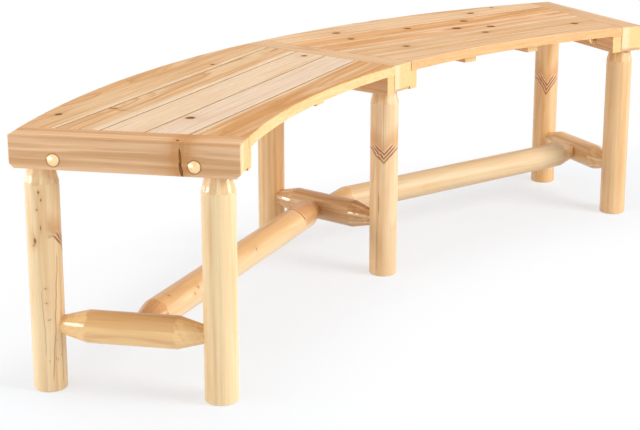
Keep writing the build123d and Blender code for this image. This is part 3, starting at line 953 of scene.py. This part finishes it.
def makeStretchers():
    height = plan["stretcherHeight"]
    half = plan["legSpacing"] / 2
    for name, finish in stretcherFinish.items():
        side, kind, _ = name.split("_")
        angle = frameAngles[side]
        if kind == "cross":
            shape = dict(crossShape, **finish.get("shape", {}))
            hostRadius = legShape["radius"]
            start = radialPoint(angle, plan["bendRadius"] - half, height)
            end = radialPoint(angle, plan["bendRadius"] + half, height)
        else:
            shape = dict(longShape, **finish.get("shape", {}))
            hostRadius = crossShape["radius"]
            start = radialPoint(angle, plan["bendRadius"], height)
            end = radialPoint(0.0, plan["bendRadius"] + plan["longShift"], height)
            if side == "right":
                start, end = end, start
        along = (end - start).normalized()
        seat = hostRadius - shape["sunk"]
        length = (end - start).length - 2 * seat
        necks = [(shape["sunk"], -1), (length - shape["sunk"], 1)]
        root, reach = logShape["tenonRoot"], shape["tenonLength"] - shape["sunk"]
        tenons = [
            (-reach, root, shape["tenonRadius"]),
            (length - root, length + reach, shape["tenonRadius"]),
        ]
        bm = logMesh(shape, length, necks, tenons, finish["pith"]["seed"], math.radians(finish["turn"]))
        matrix = Matrix((up, along.cross(up), along)).transposed().to_4x4()
        matrix.translation = start + along * seat
        material = woodMaterial(name + "_wood", start, axesMatrix(along, up), finish, isLog=True)
        addPiece(name + "_log", bm, matrix, name, material)
    print("stretchers made:", len(stretcherFinish))


# bolts and small hardware

boltShape = {
    "drop": 0.040,  # below the seat
    "headRadius": 0.0103,
    "headHeight": 0.0046,
    "domePoints": 10,
    "lip": 0.0006,
    "lipRound": 0.00018,
    "shankRadius": 0.004,
    "pastGrip": 0.0096,  # washer, nut and what stands past the nut
    "threadLength": 0.026,
    "threadPitch": 0.00125,
    "threadDepth": 0.0006,
    "steps": 48,
}


def boltProfile(length):
    # from the top of the head at z = -headHeight, down the shank to its tip
    shape = boltShape
    rise = shape["headHeight"] - shape["lip"]
    domeRadius = (shape["headRadius"] ** 2 + rise ** 2) / (2 * rise)
    widest = math.asin(shape["headRadius"] / domeRadius)
    points = []
    for index in range(shape["domePoints"] + 1):
        angle = widest * index / shape["domePoints"]
        height = domeRadius * (1 - math.cos(angle)) - shape["headHeight"]
        points.append((domeRadius * math.sin(angle), height))
    points.append((shape["headRadius"], -shape["lipRound"]))
    points.append((shape["headRadius"] - shape["lipRound"], 0.0))
    points.append((shape["shankRadius"], 0.0))
    depth = length - shape["threadLength"]
    while depth < length - shape["threadPitch"]:
        points.append((shape["shankRadius"], depth))
        points.append((shape["shankRadius"] - shape["threadDepth"], depth + shape["threadPitch"] / 2))
        depth += shape["threadPitch"]
    points.append((shape["shankRadius"] - shape["threadDepth"], length))
    points.append((0.0, length))
    return points


def makeBolts(material):
    for name, angle in frameAngles.items():
        into = rightwards(angle) * (1 if name == "left" else -1)
        start = plan["cleatSide"] if name == "middle" else plan["beamSide"]
        length = start + plan["cleatSide"] + boltShape["pastGrip"]
        bm = bmesh.new()
        for offset in (-boltPlace * millimetre, boltPlace * millimetre):
            one = bmesh.new()
            verts = [one.verts.new((radius, 0, height)) for radius, height in boltProfile(length)]
            edges = [one.edges.new(pair) for pair in zip(verts, verts[1:])]
            bmesh.ops.spin(
                one, geom=verts + edges, cent=(0, 0, 0), axis=(0, 0, 1), angle=2 * math.pi,
                steps=boltShape["steps"], use_merge=True,
            )
            bmesh.ops.remove_doubles(one, verts=one.verts, dist=1e-6)
            bmesh.ops.recalc_face_normals(one, faces=one.faces[:])
            place = radialPoint(angle, plan["bendRadius"] + offset, seatHeight - boltShape["drop"])
            matrix = Matrix((up, into.cross(up), into)).transposed().to_4x4()
            matrix.translation = place - into * start
            bmesh.ops.transform(one, matrix=matrix, verts=one.verts)
            oneBolt = bpy.data.meshes.new("one_bolt")
            one.to_mesh(oneBolt)
            one.free()
            bm.from_mesh(oneBolt)
            bpy.data.meshes.remove(oneBolt)
        for face in bm.faces:
            face.smooth = True
        addPiece(name + "_carriage_bolts", bm, Matrix.Identity(4), name + "_bolts", material)
    print("bolts made")


plating = {
    "bright_plating": {
        "tint": colour(1.0, 0.75, 0.42),
        "tarnish": colour(0.78, 0.49, 0.22),
        "scratch": 0.12,
    },
    "dull_plating": {
        "tint": colour(0.86, 0.66, 0.38),
        "tarnish": colour(0.55, 0.38, 0.20),
        "scratch": 0.25,
    },
    "roughness": 0.34,
    "grain": 900.0,  # steps per metre
    "patches": 120.0,
    "scratchDepth": 0.0002,
}


def metalMaterial(name):
    look = plating[name]
    material, s = newMaterial(name)
    x, y, z = s.split(s.node("TexCoord", None, None, ("Object",)))
    grain, patches = plating["grain"], plating["patches"]
    fine = s.noise(x * grain, y * grain, z * grain, 3.0)
    broad = s.noise(x * patches, y * patches, z * patches, 2.0)
    heights = {"Strength": look["scratch"], "Distance": plating["scratchDepth"], "Height": fine}
    inputs = {
        "Base Color": s.mix(s.smooth(broad, 0.4, 0.75) * 0.5, look["tint"], look["tarnish"]),
        "Metallic": 1.0,
        "Roughness": plating["roughness"] + (fine - 0.5) * 0.2,
        "Normal": s.node("Bump", None, heights, ("Normal",)),
    }
    s.output("Material", s.node("BsdfPrincipled", None, inputs))
    return material


def finishHardware():
    makeBolts(metalMaterial("bright_plating"))
    dull = metalMaterial("dull_plating")
    for name in nodes:
        if name.endswith(("_washers", "_nuts", "_screws")):
            assign(name, dull)
    print("hardware finished")


# stage, light and camera

stageLook = {
    "floorSize": 40.0,
    "floorColour": colour(0.86, 0.92, 1.0),
    "shadowShare": 0.64,  # how much of the floor is plain white near the bench
    "shadowReach": (0.16, 0.5),  # it fades to plain white this far off the bench's own curve
    "shadowEnds": (1.0, 1.5),  # and this far from its middle
}
worldLevel = 0.38
lampAim = (0, 0, 0.25)
lampSet = {
    "key": {"place": (0.9, -3.8, 2.5), "size": (2.0, 2.0), "power": 134.0, "roll": 0.0},
    "low": {"place": (1.4, -3.6, 0.85), "size": (2.0, 0.8), "power": 22.0, "roll": 0.0},
    "strip": {"place": (-2.05, 1.55, 0.5), "size": (4.2, 0.24), "power": 33.0, "roll": math.radians(10)},
    "top": {"place": (-0.4, 0.4, 3.7), "size": (2.4, 2.4), "power": 36.0, "roll": 0.0},
}
view = {
    "place": (-2.4642, -1.8252, 1.0478),
    "pitch": 0.2539,
    "yaw": -0.9066,
    "focal": 1524.5,  # in widths of one pixel
    "frameWidth": 640,
    "sensor": 36.0,
    "shiftY": -0.1,
    "farthest": 200.0,
}


def straightRays(s):
    # 1 for what is seen straight, in a mirror or through glass
    camera, glossy, through = s.node(
        "LightPath", None, None, ("Is Camera Ray", "Is Glossy Ray", "Is Transmission Ray")
    )
    return camera.maths("MAXIMUM", glossy).maths("MAXIMUM", through)


def makeStage():
    bm = bmesh.new()
    bmesh.ops.create_grid(bm, x_segments=2, y_segments=2, size=stageLook["floorSize"] / 2)
    mesh = bpy.data.meshes.new("floor")
    bm.to_mesh(mesh)
    bm.free()
    material, s = newMaterial("floor_white")
    x, y, _ = s.split(s.node("TexCoord", None, None, ("Object",)))
    aside = (s.length(x, y - arcCentreY) - plan["bendRadius"]).maths("ABSOLUTE")
    far = s.smooth(aside, *stageLook["shadowReach"])
    far = far.maths("MAXIMUM", s.smooth(s.length(x, y), *stageLook["shadowEnds"]))
    share = stageLook["shadowShare"] * (1.0 - far) + far
    matt = s.node("BsdfDiffuse", None, {"Color": stageLook["floorColour"]})
    white = s.node("Emission", None, {"Color": colour(1, 1, 1), "Strength": 1.0})
    s.output("Material", s.node("MixShader", None, {0: straightRays(s) * share, 1: matt, 2: white}))
    mesh.materials.append(material)
    floor = bpy.data.objects.new("floor", mesh)
    bpy.context.scene.collection.objects.link(floor)

    world = bpy.data.worlds.new("studio")
    bpy.context.scene.world = world
    world.use_nodes = True
    w = Shader(world.node_tree)
    level = straightRays(w).maths("MAXIMUM", worldLevel)
    w.output("World", w.node("Background", None, {"Color": colour(1, 1, 1), "Strength": level}))
    print("stage made")


def makeLamps():
    for name, values in lampSet.items():
        lamp = bpy.data.lights.new(name, "AREA")
        lamp.shape = "RECTANGLE"
        lamp.size, lamp.size_y = values["size"]
        lamp.energy = values["power"]
        holder = bpy.data.objects.new(name, lamp)
        holder.location = values["place"]
        holder.visible_camera = False
        aim = Vector(lampAim) - Vector(values["place"])
        turned = aim.to_track_quat("-Z", "Y") @ Quaternion((0, 0, 1), values["roll"])
        holder.rotation_euler = turned.to_euler()
        bpy.context.scene.collection.objects.link(holder)
    print("lamps made:", len(lampSet))


def makeCamera():
    data = bpy.data.cameras.new("camera")
    data.sensor_width = view["sensor"]
    data.lens = view["focal"] / view["frameWidth"] * view["sensor"]
    data.shift_y = view["shiftY"]
    data.clip_end = view["farthest"]
    camera = bpy.data.objects.new("camera", data)
    camera.location = view["place"]
    camera.rotation_euler = (math.pi / 2 - view["pitch"], 0, view["yaw"])
    bpy.context.scene.collection.objects.link(camera)
    bpy.context.scene.camera = camera
    print("camera set")


makeCamera()
finishSlats()
finishBeams()
finishFraming()
makeLegs()
makeStretchers()
finishHardware()
makeStage()
makeLamps()
bpy.context.scene.view_settings.view_transform = "Standard"
